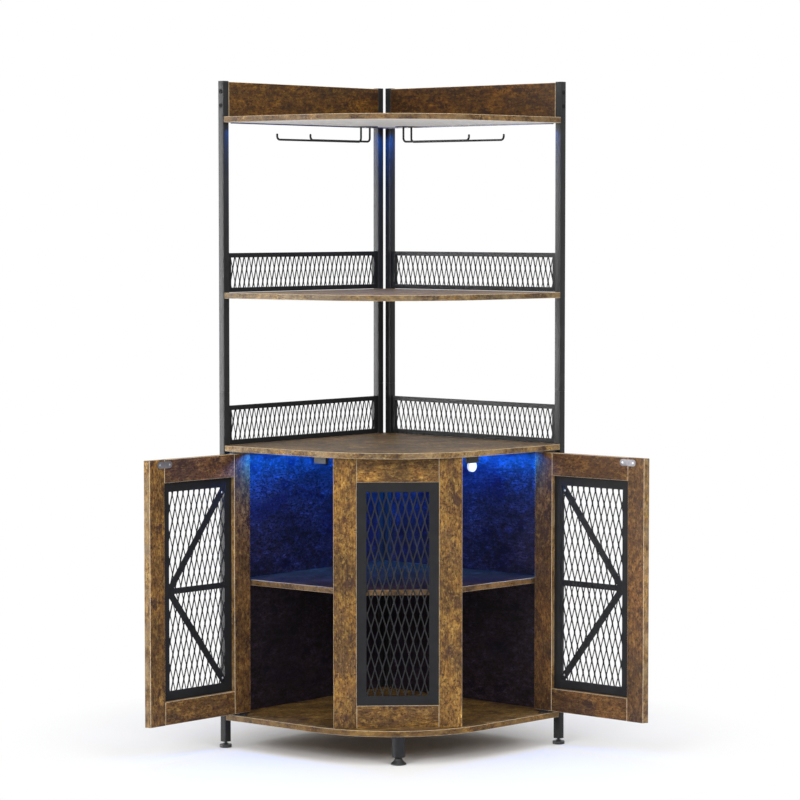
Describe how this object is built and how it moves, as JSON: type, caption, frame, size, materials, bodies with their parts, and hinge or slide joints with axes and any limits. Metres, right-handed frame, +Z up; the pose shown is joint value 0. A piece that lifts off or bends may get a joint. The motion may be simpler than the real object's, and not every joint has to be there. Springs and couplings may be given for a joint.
{
  "type": "corner bar cabinet",
  "caption": "Corner bar cabinet with a round-nosed base, worktop and open shelves on square steel posts, pivoting mesh doors and stemware racks.",
  "frame": {"origin": "centre of the bounding box on the floor plane", "axes": "+Z up, -Y towards the rounded front, +X to the right as seen from the front"},
  "size_m": [1.2966, 0.7402, 1.757],
  "materials": {
    "board": "rustic brown board, satin, with mottled amber and umber grain",
    "steel": "black powder coat, fine satin texture",
    "hinge": "bright zinc plate",
    "plastic": "matte black",
    "light": "clear silicone over blue lamps",
    "switch": "glossy white"
  },
  "bodies": {
    "cabinet": {"base_board": "board", "middle_shelf": "board", "worktop": "board", "second_shelf": "board", "top_shelf": "board", "backboard_left": "board", "backboard_right": "board", "rear_panel_left": "board", "rear_panel_right": "board", "corner_batten": "board", "panel_stile_left": "board", "panel_stile_right": "board", "panel_bottom_rail": "board", "panel_top_rail": "board", "panel_frame": "steel", "centre_leg": "steel", "light_strip_top": "light", "light_strip_cabinet": "light", "light_switch": "switch", "post_front_left_lower": "steel", "post_front_left_upper": "steel", "post_rear_left_lower": "steel", "post_rear_left_upper": "steel", "guard_lower_left": "steel", "hinge_socket_lower_left": "hinge", "guard_upper_left": "steel", "hinge_socket_upper_left": "hinge", "door_catch_left": "plastic", "glass_rack_left": "steel", "post_front_right_lower": "steel", "post_front_right_upper": "steel", "post_rear_right_lower": "steel", "post_rear_right_upper": "steel", "guard_lower_right": "steel", "hinge_socket_lower_right": "hinge", "guard_upper_right": "steel", "hinge_socket_upper_right": "hinge", "door_catch_right": "plastic", "glass_rack_right": "steel"},
    "door_left": {"door_left_hinge_stile": "board", "door_left_free_stile": "board", "door_left_top_rail": "board", "door_left_bottom_rail": "board", "door_left_frame": "steel", "door_left_strike_plate": "hinge", "door_left_hinge_upper": "hinge", "door_left_hinge_lower": "hinge"},
    "door_right": {"door_right_hinge_stile": "board", "door_right_free_stile": "board", "door_right_top_rail": "board", "door_right_bottom_rail": "board", "door_right_frame": "steel", "door_right_strike_plate": "hinge", "door_right_hinge_upper": "hinge", "door_right_hinge_lower": "hinge"},
    "foot_front_left": {"levelling_foot_front_left": "plastic"},
    "foot_rear_left": {"levelling_foot_rear_left": "plastic"},
    "foot_front_right": {"levelling_foot_front_right": "plastic"},
    "foot_rear_right": {"levelling_foot_rear_right": "plastic"},
    "foot_centre": {"levelling_foot_centre": "plastic"}
  },
  "joints": [
    {"name": "door_left_pivot", "type": "hinge", "parent": "cabinet", "child": "door_left", "pos_m": [-0.40682, -0.10154, 0.439], "axis": [0, 0, 1], "range_deg": [-50, 95]},
    {"name": "door_right_pivot", "type": "hinge", "parent": "cabinet", "child": "door_right", "pos_m": [0.40682, -0.10154, 0.439], "axis": [0, 0, -1], "range_deg": [-50, 95]},
    {"name": "levelling_foot_front_left_height", "type": "slide", "parent": "cabinet", "child": "foot_front_left", "axis": [0, 0, -1], "range_m": [0, 0.012]},
    {"name": "levelling_foot_rear_left_height", "type": "slide", "parent": "cabinet", "child": "foot_rear_left", "axis": [0, 0, -1], "range_m": [0, 0.012]},
    {"name": "levelling_foot_front_right_height", "type": "slide", "parent": "cabinet", "child": "foot_front_right", "axis": [0, 0, -1], "range_m": [0, 0.012]},
    {"name": "levelling_foot_rear_right_height", "type": "slide", "parent": "cabinet", "child": "foot_rear_right", "axis": [0, 0, -1], "range_m": [0, 0.012]},
    {"name": "levelling_foot_centre_height", "type": "slide", "parent": "cabinet", "child": "foot_centre", "axis": [0, 0, -1], "range_m": [0, 0.012]}
  ]
}
